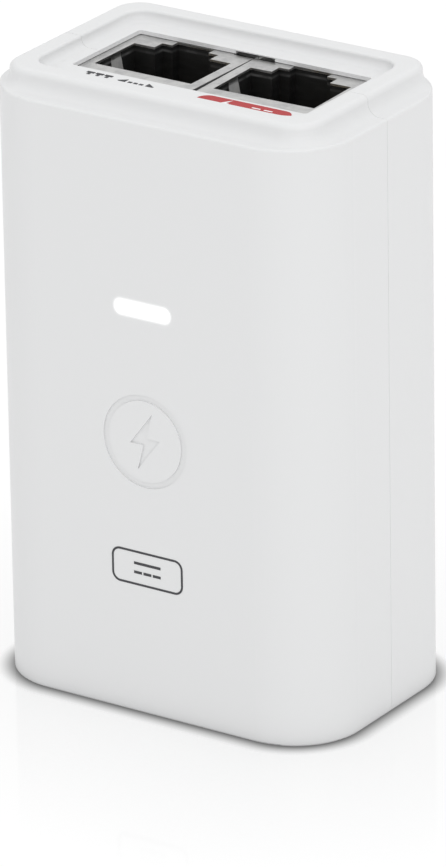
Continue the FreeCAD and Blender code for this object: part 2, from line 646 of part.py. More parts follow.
def make_light():
    body = doc.addObject("PartDesign::Body", "PipeBody")
    tip = rounded_sketch(body, "PipeTip", "XZ_Plane", "tip_width", "tip_height", "tip_radius",
                         ("0", "led_height", "-pipe_shoulder"))
    extrude(body, "Pad", tip, "tip_length")
    shoulder = rounded_sketch(body, "PipeShoulder", "XZ_Plane", "pipe_width", "pipe_height",
                              "pipe_radius", ("0", "led_height", "-pipe_back"))
    extrude(body, "Pad", shoulder, "pipe_length")
    added = [body]
    for side, word in ((-1, "Left"), (1, "Right")):
        added.append(block("PipeLeg" + word,
                           beside(side, "pipe_width / 2 - pipe_leg", "pipe_width / 2"),
                           ("pipe_back - pipe_leg", "pcb_front - seat_gap"),
                           around("led_height", "pipe_height / 2")))
    node("light_pipe", fuse("LightPipe", added))
    lamps = []
    for side, word in ((-1, "Left"), (1, "Right")):
        lamps.append(block("Lamp" + word, around("%d * led_spacing / 2" % side, "led_chip"),
                           ("pcb_front - led_chip_height", "pcb_front - seat_gap / 2"),
                           around("led_height", "led_chip")))
    node("status_leds", group("StatusLamps", lamps))
    sheet = block("SheetPlate", around("0", "cavity_width - 2 * cavity_radius"),
                  ("front_wall + seat_gap", "front_wall + seat_gap + sheet_thickness"),
                  ("floor_thickness + pcb_end_gap", "cavity_top - pcb_end_gap"))
    hole = block("SheetHole", around("0", "pipe_width + 2 * pipe_gap"),
                 ("front_wall - wall", "front_wall + wall"),
                 around("led_height", "pipe_height + 2 * pipe_gap"))
    node("insulation_sheet", cut("InsulationSheet", sheet, [hole]))


# ---------------------------------------------------------------- sockets

def socket_profile(name, middle, low, high):
    """The stepped plug opening between two levels."""
    back = "socket_back"
    steps = (("Plug", "socket_width", "socket_front", back),
             ("Latch", "latch_width", back + " - seat_gap", back + " + latch_height"),
             ("Tongue", "tongue_width", back, back + " + latch_height + tongue_height"))
    return [block(name + step, around(middle, width), (front, rear), (low, high))
            for step, width, front, rear in steps]


def grounding_finger(middle, side):
    """One sprung finger of a shield, bent in from the edge of the opening."""
    wall_face = middle + side * VALUES["socket_width"] / 2
    sheet = VALUES["shield_sheet"]
    face = VALUES["jack_face"]
    root = wall_face + side * (sheet / 2 + VALUES["shield_gap"])
    crest = wall_face - side * VALUES["finger_bulge"]
    end = wall_face + side * sheet
    points = ((root, face - sheet / 2), (root, face - 3 * sheet), (crest, face - VALUES["finger_crest"]),
              (end, face - VALUES["finger_end"]))
    front = VALUES["socket_front"] + VALUES["socket_height"] * VALUES["finger_place"]
    return strip(points, sheet * 0.8, lambda u, v: FreeCAD.Vector(u, front, v),
                 FreeCAD.Vector(0, VALUES["finger_width"], 0))


def askew(feature, name, side):
    """Turn a piece of a socket a little about the middle of the socket's inner side."""
    pivot = FreeCAD.Vector(side * VALUES["jack_gap"] / 2, VALUES["jack_offset"], 0)
    turn = FreeCAD.Rotation(FreeCAD.Vector(0, 0, 1), VALUES[name + "_turn"])
    feature.Placement = FreeCAD.Placement(FreeCAD.Vector(), turn, pivot)
    return feature


def make_shield(name, side, middle, middle_value):
    outer = block(name + "ShieldOuter", around(middle, "jack_width"), ("jack_base", "jack_back"),
                  ("jack_bottom", "jack_face"))
    inner = block(name + "ShieldInner", around(middle, "jack_width - 2 * shield_sheet"),
                  ("jack_base - wall", "jack_back - shield_sheet"),
                  ("jack_bottom + shield_sheet", "jack_face - shield_sheet"))
    opening = socket_profile(name + "Face", middle, "jack_face - wall", "jack_face + wall")
    near, far = beside(-side, "jack_width / 2 - notch_width / 2", "jack_width / 2 + wall")
    relief = block(name + "Relief", ("%s + %s" % (middle, near), "%s + %s" % (middle, far)),
                   ("window_back - relief_lap", "jack_back - shield_sheet"),
                   ("jack_face - shield_sheet", "jack_face + wall"))
    folded = cut(name + "Folded", outer, [inner, relief] + opening)
    fingers = []
    for edge, word in ((-1, "Left"), (1, "Right")):
        finger = doc.addObject("Part::Feature", name + "Finger" + word)
        finger.Shape = grounding_finger(middle_value, edge)
        fingers.append(finger)
    shield = fuse(name + "Shield", [folded] + fingers)
    node(name + "_jack_shield", askew(shield, name, side))


def make_insert(name, side, middle):
    side_play = "2 * (shield_sheet + shield_gap)"
    outer = block(name + "InsertOuter", around(middle, "jack_width - %s" % side_play),
                  ("jack_base", "jack_back - shield_sheet - shield_gap"),
                  ("jack_bottom + shield_sheet + shield_gap", "jack_face - shield_sheet - shield_gap"))
    taken = socket_profile(name + "Cavity", middle, "jack_face - socket_depth", "jack_face")
    for edge, word in ((-1, "Left"), (1, "Right")):
        near, far = beside(edge, "socket_width / 2 - wall", "socket_width / 2 + finger_pocket")
        taken.append(block(name + "FingerRoom" + word,
                           ("%s + %s" % (middle, near), "%s + %s" % (middle, far)),
                           ("socket_front + socket_height * finger_place - lip_gap",
                            "socket_front + socket_height * finger_place + finger_width + lip_gap"),
                           ("jack_face - finger_room", "jack_face")))
    for wire in range(8):
        column = "%s + %s * contact_pitch" % (middle, wire - 3.5)
        taken.append(block("%sComb%d" % (name, wire), around(column, "contact_slot"),
                           ("socket_front - contact_slot_depth", "socket_front + wall / 2"),
                           ("jack_face - socket_depth", "jack_face - contact_drop / 2")))
    node(name + "_jack_body", askew(cut(name + "Insert", outer, taken), name, side))


def make_contacts(name, side, middle_value):
    """Eight sprung wires, each hooked near the socket's face and rising to its tip."""
    bend_y = VALUES["socket_front"] - VALUES["contact_sheet"]
    bend_z = VALUES["jack_face"] - VALUES["contact_drop"]
    sheet = VALUES["contact_sheet"]
    hook = VALUES["contact_hook"]
    points = ((bend_y - 2 * hook, bend_z - 1.7 * hook), (bend_y - hook, bend_z), (bend_y, bend_z),
              (bend_y + VALUES["contact_lift"], bend_z - VALUES["contact_reach"]))
    wires = []
    for wire in range(8):
        left = middle_value + (wire - 3.5) * VALUES["contact_pitch"] - VALUES["contact_width"] / 2
        feature = doc.addObject("Part::Feature", "%sWire%d" % (name, wire))
        feature.Shape = strip(points, sheet, lambda u, v: FreeCAD.Vector(left, u, v),
                              FreeCAD.Vector(VALUES["contact_width"], 0, 0))
        wires.append(feature)
    node(name + "_contacts", askew(group(name + "Contacts", wires), name, side))


def make_tails(name, middle):
    """Eight solder tails in two staggered rows, each up to the foot of its askew socket."""
    tails = []
    for wire in range(8):
        column = "%s + %s * contact_pitch" % (middle, wire - 3.5)
        level = "jack_bottom + contact_reach / 2 + %d * tail_row" % (wire % 2)
        foot = "jack_base - seat_gap / 2 + (%s) * tan(%s_turn)" % (column, name)
        tails.append(square_lead("%sTail%d" % (name, wire), column, level, foot, "tail_width"))
    node(name + "_solder_pins", group(name + "Tails", tails))


def make_sockets():
    for name, side in (("lan", -1), ("poe", 1)):
        middle = "%d * jack_pitch / 2" % side
        middle_value = side * VALUES["jack_pitch"] / 2
        make_shield(name, side, middle, middle_value)
        make_insert(name, side, middle)
        make_contacts(name, side, middle_value)
        make_tails(name, middle)


# ---------------------------------------------------------------- mains inlet

def inlet_pins():
    """Column and row of the line, earth and neutral pins."""
    return (("Line", "-pin_spacing / 2", "mains_pin_row"), ("Earth", "0", "earth_pin_row"),
            ("Neutral", "pin_spacing / 2", "mains_pin_row"))


def make_inlet():
    outer = block("InletBlock", around("0", "inlet_width"), around("inlet_middle", "inlet_depth"),
                  ("inlet_recess", "inlet_top"))
    ear_low = "floor_thickness + seat_gap"
    ears = block("InletEars", around("0", "inlet_width + 2 * inlet_ear"),
                 around("inlet_middle", "inlet_depth"), (ear_low, ear_low + " + ear_thickness"))
    recess = ("-wall", "inlet_recess + clover_depth")
    taken = [block("CloverAcross", around("0", "pin_spacing"),
                   around("mains_pin_row", "2 * clover_radius"), recess),
             block("CloverUp", around("0", "2 * clover_radius"),
                   ("mains_pin_row", "earth_pin_row"), recess)]
    pins = []
    for word, column, row in inlet_pins():
        taken.append(rod("Clover" + word, "Z", (column, row, "-wall"),
                         "wall + inlet_recess + clover_depth", "clover_radius"))
        taken.append(rod("PinHole" + word, "Z", (column, row, "0"), "2 * inlet_height",
                         "pin_radius + seat_gap"))
        tab_low = "inlet_top + seat_gap"
        upright = rod("Pin" + word, "Z", (column, row, "inlet_recess + pin_sink"),
                      "inlet_height - pin_sink + seat_gap + tab_sheet", "pin_radius")
        tab = block("Tab" + word, around(column, "tab_width"), ("lead_end", row),
                    (tab_low, tab_low + " + tab_sheet"))
        drill("Tab" + word, around(column, "tab_width + 2 * hole_gap"),
              (tab_low + " - hole_gap", tab_low + " + tab_sheet + hole_gap"))
        pins.append(fuse("WholePin" + word, [upright, tab]))
    node("ac_inlet", cut("Inlet", fuse("InletSolid", [outer, ears]), taken))
    node("ac_inlet_pins", group("InletPins", pins))


# ---------------------------------------------------------------- mains side of the supply

STAND = "pcb_rear + seat_gap"


def make_fuse():
    """An upright tube fuse beside the inlet, with a cap on each end."""
    column = "-side_column - fuse_radius / 2"
    row = STAND + " + fuse_radius + lead_width"
    low = "pcb_low + 2 * part_gap"
    tube = rod("FuseTube", "Z", (column, row, low), "fuse_length", "fuse_radius - hole_gap")
    cap = "2 * part_gap"
    lower = rod("FuseLowerCap", "Z", (column, row, low), cap, "fuse_radius")
    upper = rod("FuseUpperCap", "Z", (column, row, low + " + fuse_length - " + cap), cap,
                "fuse_radius")
    leads = bent_lead("FuseLowerLead", column, low + " + hole_gap", "part_gap", row)
    top = low + " + fuse_length"
    out = block("FuseUpperLeadOut", around(column, "lead_width"), around(row, "lead_width"),
                (top + " - hole_gap", top + " + part_gap"))
    down = square_lead("FuseUpperLead", column, top + " + part_gap - lead_width / 2",
                       row + " + lead_width / 2")
    node("fuse", fuse("Fuse", [tube, lower, upper, out, down] + leads))


def make_varistor():
    """A disc standing edge-on to the board, on the other side of the inlet."""
    column = "side_column + fuse_radius / 2"
    level = "pcb_low + 2 * part_gap + varistor_radius"
    disc = rod("VaristorDisc", "X",
               (column + " - varistor_thickness / 2",
                STAND + " + varistor_radius + hole_gap", level),
               "varistor_thickness", "varistor_radius")
    leads = [square_lead("VaristorLead%d" % number, column, level + " + %d * lead_width" % shift,
                         STAND + " + varistor_radius / 2")
             for number, shift in enumerate((-3, 3))]
    node("varistor", fuse("Varistor", [disc] + leads))


def make_box_capacitor():
    """The moulded X capacitor up the left side."""
    column = "-side_column - box_cap_width / 2 + hole_gap"
    low = "inlet_top + 2 * part_gap"
    case = block("BoxCapCase", around(column, "box_cap_width"),
                 (STAND, STAND + " + box_cap_height"), (low, low + " + box_cap_length"))
    leads = [square_lead("BoxCapLead%d" % number, column,
                         low + " + box_cap_length * %s" % share, STAND + " + part_gap")
             for number, share in enumerate((0.1, 0.9))]
    node("x_capacitor", fuse("BoxCapacitor", [case] + leads))


def make_choke():
    """A ring core lying on the board, with two windings on it."""
    column = "core_column"
    level = "inlet_top + part_gap + choke_radius + choke_section + choke_wire"
    row = STAND + " + choke_section + choke_wire"
    ring = bind(doc.addObject("Part::Torus", "ChokeRing"), Radius1="choke_radius",
                Radius2="choke_section")
    node("choke_core", turned(ring, "Y", column, row, level))
    windings = []
    for word, turn in (("Left", 125), ("Right", -55)):
        coil = bind(doc.addObject("Part::Torus", "Coil" + word), Radius1="choke_radius",
                    Radius2="choke_section + choke_wire")
        coil.Angle3 = 110
        turned(coil, "Y", column, row, level)
        coil.Placement.Rotation = TURNS["Y"].multiply(
            FreeCAD.Rotation(FreeCAD.Vector(0, 0, 1), turn))
        hollow = bind(doc.addObject("Part::Torus", "CoilHollow" + word), Radius1="choke_radius",
                      Radius2="choke_section + seat_gap")
        turned(hollow, "Y", column, row, level)
        windings.append(cut("Winding" + word, coil, [hollow]))
    node("choke_windings", group("ChokeWindings", windings))


def make_can(label, column, low, length, radius):
    """An electrolytic capacitor lying up the board, with its rolled groove."""
    row = "%s + %s" % (STAND, radius)
    can = rod(label + "Can", "Z", (column, row, low), length, radius)
    groove = bind(doc.addObject("Part::Torus", label + "Groove"), Radius1=radius,
                  Radius2="can_groove")
    turned(groove, "Z", column, row, low + " + 2 * part_gap")
    leads = []
    for number, shift in enumerate((-2, 2)):
        leads += bent_lead("%sLead%d" % (label, number), "%s + %d * lead_width" % (column, shift),
                           low + " + hole_gap", "part_gap", row)
    grooved = cut(label + "Grooved", can, [groove])
    node(label, fuse(label + "Whole", [grooved] + leads))


# ---------------------------------------------------------------- transformer

def make_transformer():
    """Ferrite core, bobbin and winding, with the winding's axis upright."""
    column, level, row = "core_column", "core_middle", "core_row"
    window = around(level, "core_height - 2 * core_leg")
    core = block("CoreBlock", around(column, "core_width"), around(row, "core_depth"),
                 around(level, "core_height"))
    openings = []
    for side, word in ((-1, "Left"), (1, "Right")):
        near, far = beside(side, "core_centre / 2", "core_width / 2 - core_leg")
        openings.append(block("CoreWindow" + word, ("%s + %s" % (column, near),
                                                    "%s + %s" % (column, far)),
                              around(row, "2 * core_depth"), window))
    node("transformer_core", cut("Core", core, openings))

    tube_height = "core_height - 2 * core_leg - 2 * fit_gap"
    tube_x = "core_centre + 2 * (fit_gap + bobbin_sheet)"
    tube_y = "core_depth + 2 * (fit_gap + bobbin_sheet)"
    flange_x = "core_width - 2 * core_leg - 2 * fit_gap"
    tube = block("BobbinTube", around(column, tube_x), around(row, tube_y),
                 around(level, tube_height))
    flanges = []
    for side, word in ((-1, "Low"), (1, "High")):
        end = "%s + %d * (%s - bobbin_sheet) / 2" % (level, side, tube_height)
        flanges.append(block("BobbinFlange" + word, around(column, flange_x),
                             around(row, "bobbin_span"), around(end, "bobbin_sheet")))
        for corner, share in (("Near", -1), ("Middle", 0), ("Far", 1)):
            pin = "%s + %d * (core_width / 2 - core_leg - part_gap)" % (column, share)
            flanges.append(square_lead("BobbinPin%s%s" % (word, corner), pin, end,
                                       STAND + " + part_gap"))
    hollow = block("BobbinHollow", around(column, "core_centre + 2 * fit_gap"),
                   around(row, "core_depth + 2 * fit_gap"), around(level, "2 * core_height"))
    node("transformer_bobbin", cut("Bobbin", fuse("BobbinSolid", [tube] + flanges), [hollow]))

    wound = block("WindingOuter", around(column, flange_x + " - part_gap"),
                  around(row, "bobbin_span - part_gap"),
                  around(level, tube_height + " - 2 * (bobbin_sheet + fit_gap)"))
    bore = block("WindingBore", around(column, tube_x + " + 2 * seat_gap"),
                 around(row, tube_y + " + 2 * seat_gap"), around(level, "2 * core_height"))
    node("transformer_winding", cut("Winding", wound, [bore]))


# ---------------------------------------------------------------- output side of the supply

def make_disc_capacitor():
    """The Y capacitor across the transformer, a disc standing on edge."""
    level = "jack_bottom - part_gap - disc_thickness"
    disc = rod("DiscCapDisc", "Z", ("core_column", STAND + " + disc_radius + hole_gap", level),
               "disc_thickness", "disc_radius")
    leads = [square_lead("DiscCapLead%d" % number, "core_column + %d * lead_width" % shift,
                         level + " + lead_width", STAND + " + disc_radius / 2")
             for number, shift in enumerate((-4, 4))]
    node("y_capacitor", fuse("DiscCapacitor", [disc] + leads))


def make_inductor():
    """The output choke: a drum core standing off the board, with its winding."""
    column = "-side_column - part_gap"
    level = "jack_bottom - part_gap - drum_radius"
    lower = rod("DrumLower", "Y", (column, STAND, level), "drum_flange", "drum_radius")
    post = rod("DrumPost", "Y", (column, STAND, level), "drum_height", "drum_post")
    upper = rod("DrumUpper", "Y", (column, STAND + " + drum_height - drum_flange", level),
                "drum_flange", "drum_radius")
    node("inductor_core", fuse("InductorCore", [lower, post, upper]))
    start = (column, STAND + " + drum_flange + seat_gap", level)
    height = "drum_height - 2 * drum_flange - 2 * seat_gap"
    wound = rod("DrumWound", "Y", start, height, "drum_radius - fit_gap")
    bore = rod("DrumBore", "Y", start, height, "drum_post + seat_gap")
    node("inductor_winding", cut("InductorWinding", wound, [bore]))


# Moulded parts on pads: node, side of the board (1 rear, -1 front), column, level,
# body across, body upright, body off the board, pins in each row
CHIPS = (
    ("bridge_rectifier", -1, "-side_column + 2", "inlet_top + 8", 3.9, 4.7, 2.3, 2),
    ("switching_controller", -1, "side_column / 2", "core_middle - 4", 3.9, 4.9, 1.6, 4),
    ("output_diode", -1, "-side_column / 2", "led_height - 8", 3.6, 4.4, 2.2, 1),
    ("optocoupler", 1, "core_column + disc_radius + 5.4 * part_gap", "jack_bottom - 3.4", 4.6,
     4.4, 3.2, 2),
    ("data_transformer", -1, "0", "jack_bottom + 12", 7.0, 12.7, 3.4, 8),
)
CHIP_FOOT = 0.9
CHIP_LEG = 0.4


def make_chip(label, side, column, level, across, upright, off, pins):
    """A moulded part with a row of flat legs down each side."""
    face = "pcb_rear" if side > 0 else "pcb_front"

    def layer(low, high):
        near = "%s + %d * (%s)" % (face, side, low)
        far = "%s + %d * (%s)" % (face, side, high)
        return (near, far) if side > 0 else (far, near)

    pieces = [block(label + "Body", around(column, str(across)),
                    layer("seat_gap + %s / 4" % CHIP_LEG, str(off)), around(level, str(upright)))]
    step = upright / pins
    for row in (-1, 1):
        middle = "%s + %d * %s" % (column, row, (across + CHIP_FOOT) / 2)
        for pin in range(pins):
            height = "%s + %s" % (level, (pin - (pins - 1) / 2) * step)
            pieces.append(block("%sLeg%d%d" % (label, row + 1, pin),
                                around(middle, str(CHIP_FOOT + CHIP_LEG)),
                                layer("seat_gap", "seat_gap + %s" % CHIP_LEG),
                                around(height, str(CHIP_LEG * 1.5 if pins > 1 else upright / 2))))
    node(label, fuse(label + "Whole", pieces))


# ---------------------------------------------------------------- the whole injector

def make_all():
    casing = make_casing()
    make_front_shell(casing)
    make_rear_shell(casing)
    make_wall_bracket()
    make_light()
    make_sockets()
    make_inlet()
    make_fuse()
    make_varistor()
    make_box_capacitor()
    make_choke()
    make_can("bulk_capacitor", "side_column", "inlet_top + 3 * part_gap", "bulk_length",
             "bulk_radius")
    make_transformer()
    make_disc_capacitor()
    make_can("output_capacitor", "side_column", "jack_bottom - part_gap - output_length",
             "output_length", "output_radius")
    make_inductor()
    for chip in CHIPS:
        make_chip(*chip)
    make_board()


def check_all():
    """Stop before anything is written if a feature failed or a node has no sound solid."""
    for feature in doc.Objects:
        if {"Invalid", "Error"} & set(feature.State):
            raise RuntimeError("%s did not compute" % feature.Name)
    for label, feature in NODES.items():
        shape = feature.Shape
        if shape.isNull() or not shape.isValid() or not shape.Solids:
            raise RuntimeError("%s has no sound solid" % label)


def write_all():
    os.makedirs("parts", exist_ok=True)
    for label, feature in NODES.items():
        feature.Shape.exportStep("parts/%s.step" % label)


make_all()
doc.recompute()
check_all()
write_all()
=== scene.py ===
import math

import bmesh
import bpy
from mathutils import Matrix, Vector


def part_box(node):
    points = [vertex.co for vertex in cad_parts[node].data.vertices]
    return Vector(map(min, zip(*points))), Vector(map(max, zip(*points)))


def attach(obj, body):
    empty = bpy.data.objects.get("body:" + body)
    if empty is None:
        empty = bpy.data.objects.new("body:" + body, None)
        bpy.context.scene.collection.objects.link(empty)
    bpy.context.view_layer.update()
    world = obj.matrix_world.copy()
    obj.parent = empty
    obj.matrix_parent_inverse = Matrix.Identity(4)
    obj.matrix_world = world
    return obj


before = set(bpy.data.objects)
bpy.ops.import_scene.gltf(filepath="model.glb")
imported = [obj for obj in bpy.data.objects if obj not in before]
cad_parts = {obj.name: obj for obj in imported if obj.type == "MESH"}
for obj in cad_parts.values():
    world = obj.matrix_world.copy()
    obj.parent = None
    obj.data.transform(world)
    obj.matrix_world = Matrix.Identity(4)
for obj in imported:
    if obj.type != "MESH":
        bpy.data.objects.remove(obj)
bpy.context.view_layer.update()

MM = 0.001

# ---------------------------------------------------------------- places, in metres, from the frame

FRONT_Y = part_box("front_shell")[0].y
TOP_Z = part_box("front_shell")[1].z
PLATE_DROP = 1.25 * MM      # from the top of the rim down to the plate round the sockets
PLATE_Z = TOP_Z - PLATE_DROP
PORT_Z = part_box("lan_jack_shield")[1].z
LAMP_Z = (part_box("light_pipe")[0].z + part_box("light_pipe")[1].z) / 2
BODY_HALF = Vector((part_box("front_shell")[1].x, -FRONT_Y, 0.0))
CORNER = 7.9 * MM           # radius of the casing's upright corners
INK_RISE = 0.03 * MM        # how far a print stands out from the plastic


# ---------------------------------------------------------------- node helpers

class Graph:
    """A short way to write a material's nodes."""

    def __init__(self, name):
        self.material = bpy.data.materials.new(name)
        self.material.use_nodes = True
        self.nodes = self.material.node_tree.nodes
        self.links = self.material.node_tree.links
        self.shader = self.nodes["Principled BSDF"]
        self.output = self.nodes["Material Output"]
        self.place = self.nodes.new("ShaderNodeTexCoord").outputs["Object"]

    def put(self, socket, value):
        """Link a socket, or set its number or colour; None leaves it as it is."""
        if isinstance(value, bpy.types.NodeSocket):
            self.links.new(value, socket)
        elif value is not None:
            socket.default_value = value

    def math(self, operation, first, second=None):
        node = self.nodes.new("ShaderNodeMath")
        node.operation = operation
        self.put(node.inputs[0], first)
        self.put(node.inputs[1], second)
        return node.outputs[0]

    def vector(self, operation, first, second=None):
        node = self.nodes.new("ShaderNodeVectorMath")
        node.operation = operation
        self.put(node.inputs[0], first)
        self.put(node.inputs[1], second)
        return node.outputs["Value" if operation == "LENGTH" else "Vector"]

    def split(self, vector):
        node = self.nodes.new("ShaderNodeSeparateXYZ")
        self.put(node.inputs[0], vector)
        return node.outputs

    def beyond(self, value, limit):
        """How far a signed value goes past a limit on either side of zero, and 0 within it."""
        return self.math("MAXIMUM", self.math("SUBTRACT", self.math("ABSOLUTE", value), limit), 0.0)

    def join(self, x, y, z):
        node = self.nodes.new("ShaderNodeCombineXYZ")
        for socket, value in zip(node.inputs, (x, y, z)):
            self.put(socket, value)
        return node.outputs[0]

    def noise(self, scale, detail, rough, place=None):
        node = self.nodes.new("ShaderNodeTexNoise")
        self.put(node.inputs["Vector"], place if place is not None else self.place)
        node.inputs["Scale"].default_value = scale
        node.inputs["Detail"].default_value = detail
        node.inputs["Roughness"].default_value = rough
        return node.outputs["Fac"]

    def cells(self, scale, place=None):
        """Distance to the nearest border between irregular cells."""
        node = self.nodes.new("ShaderNodeTexVoronoi")
        node.feature = "DISTANCE_TO_EDGE"
        self.put(node.inputs["Vector"], place if place is not None else self.place)
        node.inputs["Scale"].default_value = scale
        return node.outputs["Distance"]

    def ramp(self, value, low, high, start=0.0, end=1.0, smooth=True):
        """start below low, end above high, and a smooth or straight change between."""
        node = self.nodes.new("ShaderNodeMapRange")
        node.interpolation_type = "SMOOTHSTEP" if smooth else "LINEAR"
        for name, number in (("Value", value), ("From Min", low), ("From Max", high),
                             ("To Min", start), ("To Max", end)):
            self.put(node.inputs[name], number)
        return node.outputs["Result"]

    def mix(self, factor, first, second):
        node = self.nodes.new("ShaderNodeMix")
        node.data_type = "RGBA"
        self.put(node.inputs["Factor"], factor)
        self.put(node.inputs["A"], first)
        self.put(node.inputs["B"], second)
        return node.outputs["Result"]

    def bump(self, height, distance, strength, normal=None):
        """A normal raised by height times distance, over an earlier normal if there is one."""
        node = self.nodes.new("ShaderNodeBump")
        node.inputs["Strength"].default_value = strength
        node.inputs["Distance"].default_value = distance
        self.put(node.inputs["Height"], height)
        self.put(node.inputs["Normal"], normal)
        return node.outputs["Normal"]

    def set(self, **values):
        """Fill the shader's sockets: Base_Color stands for the one called Base Color."""
        for name, value in values.items():
            self.put(self.shader.inputs[name.replace("_", " ")], value)


def grey(value, tint=(1.0, 1.0, 1.0)):
    return (value * tint[0], value * tint[1], value * tint[2], 1.0)


# ---------------------------------------------------------------- materials

COOL = (0.992, 0.996, 1.0)
WHITE = (1.0, 1.0, 1.0, 1.0)
SHELL_TONE = 0.735
BRACKET_TONE = 0.76
HIGHLIGHT_LINE_DEPTH = 0.75 * MM       # of the painted highlight line inside a socket's mouth, below the shields' faces
WIRE_PITCH = 0.3 * MM       # of the enamelled wire on the windings

# The lit bar on the front, a painted glow in the shell's plastic, and the soft edges of its bright core
# and of the glow round it
BAR_HALF_LENGTH, BAR_HALF_HEIGHT, BAR_CORNER = 3.5 * MM, 0.85 * MM, 0.8 * MM
CORE_SOFT, CORE_GLOW = 0.36 * MM, 0.62
HALO_SOFT, HALO_GLOW = 0.75 * MM, 0.04


def moulded_white(name, tone=SHELL_TONE):
    """Satin white plastic with a spark-eroded grain, faint sink marks and handling marks."""
    g = Graph(name)
    cloud = g.noise(45.0, 4.0, 0.55)
    stain = g.noise(220.0, 3.0, 0.6)
    sink_shade = g.ramp(cloud, 0.3, 0.7, -0.006, 0.006)
    stain_shade = g.ramp(stain, 0.3, 0.7, -0.004, 0.004)
    tint = g.math("ADD", g.math("ADD", sink_shade, stain_shade), 0.5)
    colour = g.mix(tint, grey(tone * 0.94, COOL), grey(tone * 1.06, COOL))
    grain = g.noise(9000.0, 2.0, 0.6)
    ripple = g.noise(130.0, 2.0, 0.5)
    normal = g.bump(ripple, 0.02 * MM, 0.5)
    normal = g.bump(grain, 0.006 * MM, 0.6, normal)
    satin = g.ramp(stain, 0.25, 0.75, 0.36, 0.44)
    rough = g.math("ADD", satin, g.ramp(grain, 0.3, 0.7, -0.02, 0.02))
    g.set(Base_Color=colour, Roughness=rough, Normal=normal)
    g.set(IOR=1.49, Specular_IOR_Level=0.42, Subsurface_Weight=0.06, Subsurface_Scale=0.4 * MM,
          Subsurface_Radius=(1.0, 0.95, 0.9))
    return g


def bar_mask(g, soft):
    """1 inside the painted glow of the lit bar on the front face, fading over a soft edge."""
    x, y, z = g.split(g.place)
    dx = g.beyond(x, BAR_HALF_LENGTH - BAR_CORNER)
    dz = g.beyond(g.math("SUBTRACT", z, LAMP_Z), BAR_HALF_HEIGHT - BAR_CORNER)
    reach = g.vector("LENGTH", g.join(dx, 0.0, dz))
    inside = g.ramp(reach, BAR_CORNER - soft, BAR_CORNER + soft, 1.0, 0.0)
    on_front = g.ramp(y, FRONT_Y + 0.3 * MM, FRONT_Y + 0.5 * MM, 1.0, 0.0)
    return g.math("MULTIPLY", inside, on_front)


def painted_glow_shell():
    """The front half's plastic, with a painted glow standing in for the lamps' light through its thinned
    wall.
    """
    g = moulded_white("shell_plastic_painted_glow")
    core = g.math("MULTIPLY", bar_mask(g, CORE_SOFT), CORE_GLOW)
    halo = g.math("MULTIPLY", bar_mask(g, HALO_SOFT), HALO_GLOW)
    g.set(Emission_Color=WHITE, Emission_Strength=g.math("ADD", core, halo))
    return g.material


def plated_steel(name, tone=0.62, rough=(0.28, 0.42)):
    """Thin plated sheet: rolling grain, small scratches, dull spots, duller inside a socket."""
    g = Graph(name)
    stretched = g.vector("MULTIPLY", g.place, (900.0, 9000.0, 900.0))
    rolled = g.noise(1.0, 3.0, 0.6, stretched)
    spots = g.noise(600.0, 4.0, 0.65)
    scratch = g.cells(420.0, g.vector("MULTIPLY", g.place, (1.0, 5.0, 1.0)))
    mark = g.ramp(scratch, 0.0, 0.03, 1.0, 0.0)
    colour = g.mix(g.ramp(spots, 0.35, 0.7), grey(tone, (1.0, 0.995, 0.98)), grey(tone * 0.78))
    level = g.split(g.place)[2]
    dull = g.ramp(level, PORT_Z - 1.0 * MM, PORT_Z - 0.3 * MM, 0.3, 0.0)
    worn = g.math("ADD", g.math("MULTIPLY", mark, 0.12), dull)
    g.set(Base_Color=colour, Metallic=1.0,
          Roughness=g.math("ADD", g.ramp(spots, 0.3, 0.7, *rough), worn),
          Normal=g.bump(rolled, 0.004 * MM, 0.6, g.bump(mark, 0.006 * MM, 0.4)))
    return g.material


def moulded_black(name, tone=0.004, highlight_level=None):
    """Glass-filled black plastic: a fine grain with pale specks along the flow.

    Given a level, a painted highlight runs round the mouth of a socket there: a lighter line, also
    glossier.
    """
    g = Graph(name)
    grain = g.noise(5200.0, 3.0, 0.6)
    flow = g.noise(1.0, 3.0, 0.6, g.vector("MULTIPLY", g.place, (500.0, 500.0, 2400.0)))
    colour = g.mix(g.ramp(flow, 0.4, 0.75), grey(tone), grey(tone * 2.6))
    rough = g.ramp(grain, 0.3, 0.7, 0.42, 0.6)
    if highlight_level is not None:
        # Painted highlight: a lighter, glossier band at the given level, broken up by noise
        away = g.math("ABSOLUTE", g.math("SUBTRACT", g.split(g.place)[2], highlight_level))
        patchy = g.ramp(g.noise(330.0, 3.0, 0.6), 0.38, 0.62, 0.25, 1.0)
        line = g.math("MULTIPLY", g.ramp(away, 0.06 * MM, 0.2 * MM, 1.0, 0.0), patchy)
        colour = g.mix(line, colour, grey(0.1))
        rough = g.math("SUBTRACT", rough, g.math("MULTIPLY", line, 0.15))
    g.set(Base_Color=colour, Roughness=rough, Normal=g.bump(grain, 0.008 * MM, 0.5))
    return g.material


def gold_plate():
    g = Graph("gold_plate")
    wear = g.noise(1500.0, 3.0, 0.6)
    g.set(Base_Color=g.mix(g.ramp(wear, 0.35, 0.7), (0.83, 0.62, 0.26, 1.0), (0.62, 0.44, 0.2, 1.0)),
          Metallic=1.0, Roughness=g.ramp(wear, 0.3, 0.7, 0.22, 0.36),
          Normal=g.bump(wear, 0.003 * MM, 0.4))
    return g.material


def speckled(name, low, high, rough, scale=900.0, metal=0.0):
    """An even coat or casting with a mottled colour and a fine grain."""
    g = Graph(name)
    mottle = g.noise(scale, 4.0, 0.6)
    grain = g.noise(scale * 6.0, 2.0, 0.6)
    g.set(Base_Color=g.mix(g.ramp(mottle, 0.3, 0.7), low + (1.0,), high + (1.0,)),
          Roughness=g.ramp(grain, 0.3, 0.7, *rough), Metallic=metal,
          Normal=g.bump(grain, 0.01 * MM, 0.5))
    return g.material


